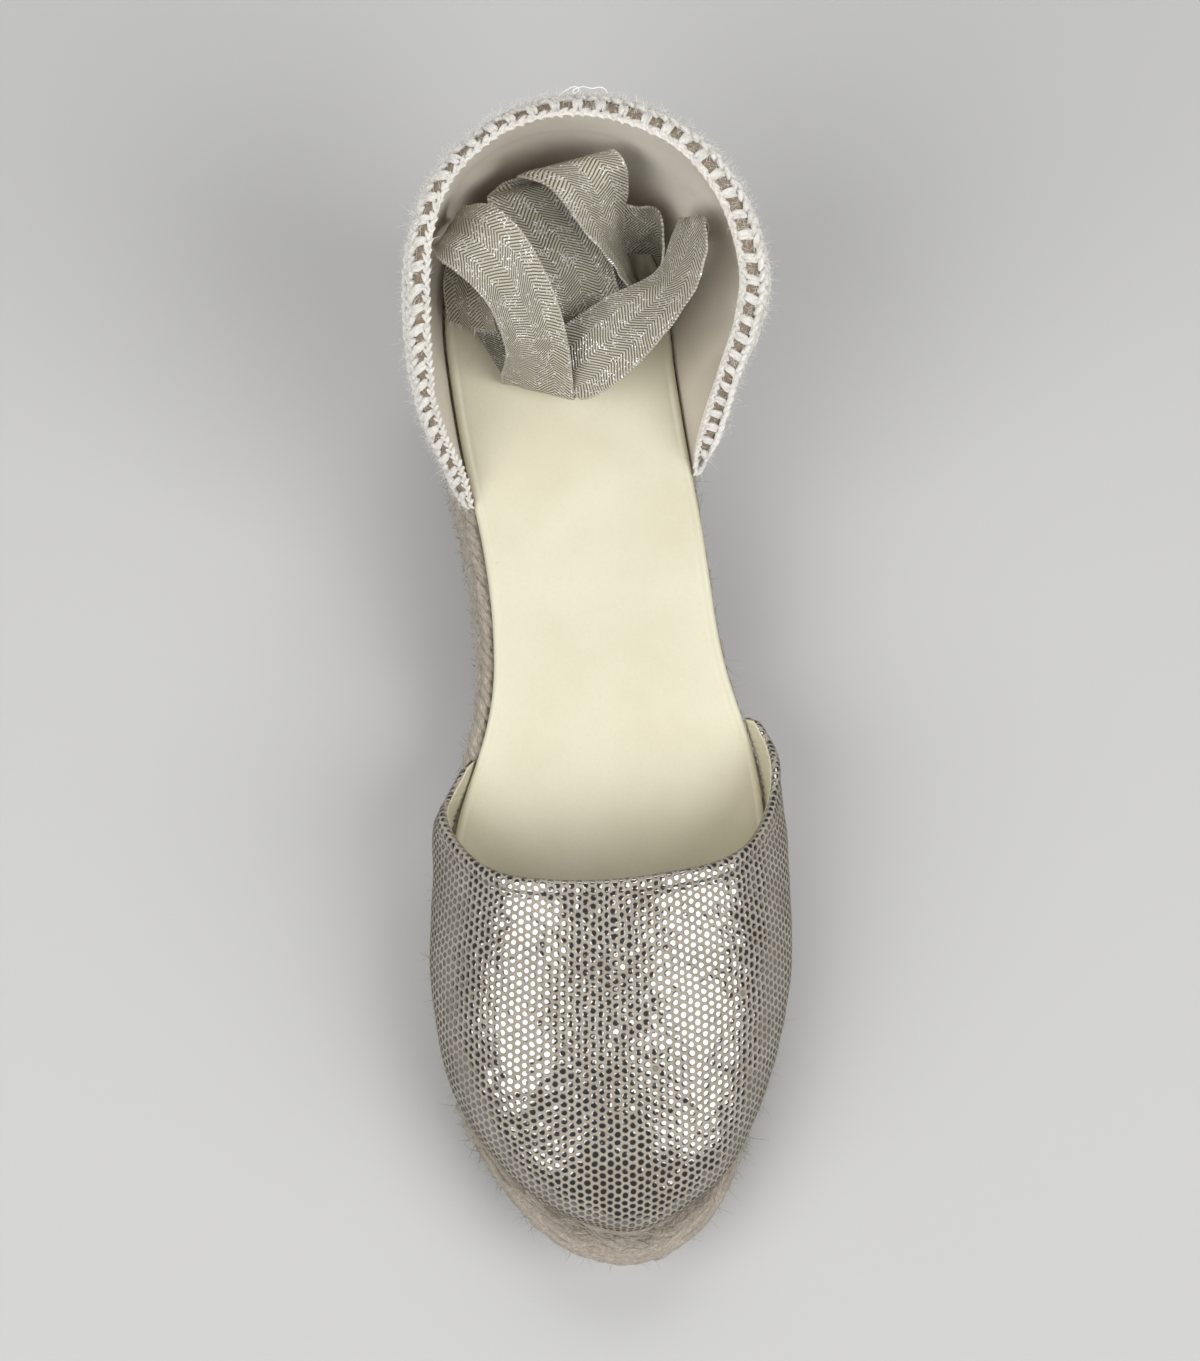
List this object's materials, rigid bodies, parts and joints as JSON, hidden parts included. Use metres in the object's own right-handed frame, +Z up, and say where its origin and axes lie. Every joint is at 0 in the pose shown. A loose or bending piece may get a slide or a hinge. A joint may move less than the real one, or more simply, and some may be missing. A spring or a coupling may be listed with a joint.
{
  "type": "espadrille sandal",
  "caption": "Closed-toe wedge espadrille with a perforated-look vamp, open waist, low woven heel counter, braided jute wedge sole and two ribbon ankle ties lying in the heel.",
  "frame": {"origin": "on the floor under the sole, at the centre of the shoe's bounding box in plan, ankle ties left out", "axes": "+Z up, +Y towards the heel and -Y towards the toe, +X towards the outer side of this left shoe"},
  "size_m": [0.0865, 0.2471, 0.1215],
  "materials": {
    "outsole": "matte, light brown",
    "jute": "braided natural jute",
    "insole": "smooth cream leather",
    "vamp": "taupe suede with close rows of mirror-silver dots",
    "counter": "white crocheted cotton over taupe, lined with beige leather",
    "tie": "taupe and silver herringbone ribbon"
  },
  "bodies": {
    "root": {"outsole": "outsole", "jute_sole": "jute", "insole": "insole", "vamp": "vamp", "heel_counter": "counter", "tie_medial": "tie", "tie_lateral": "tie"}
  },
  "joints": []
}
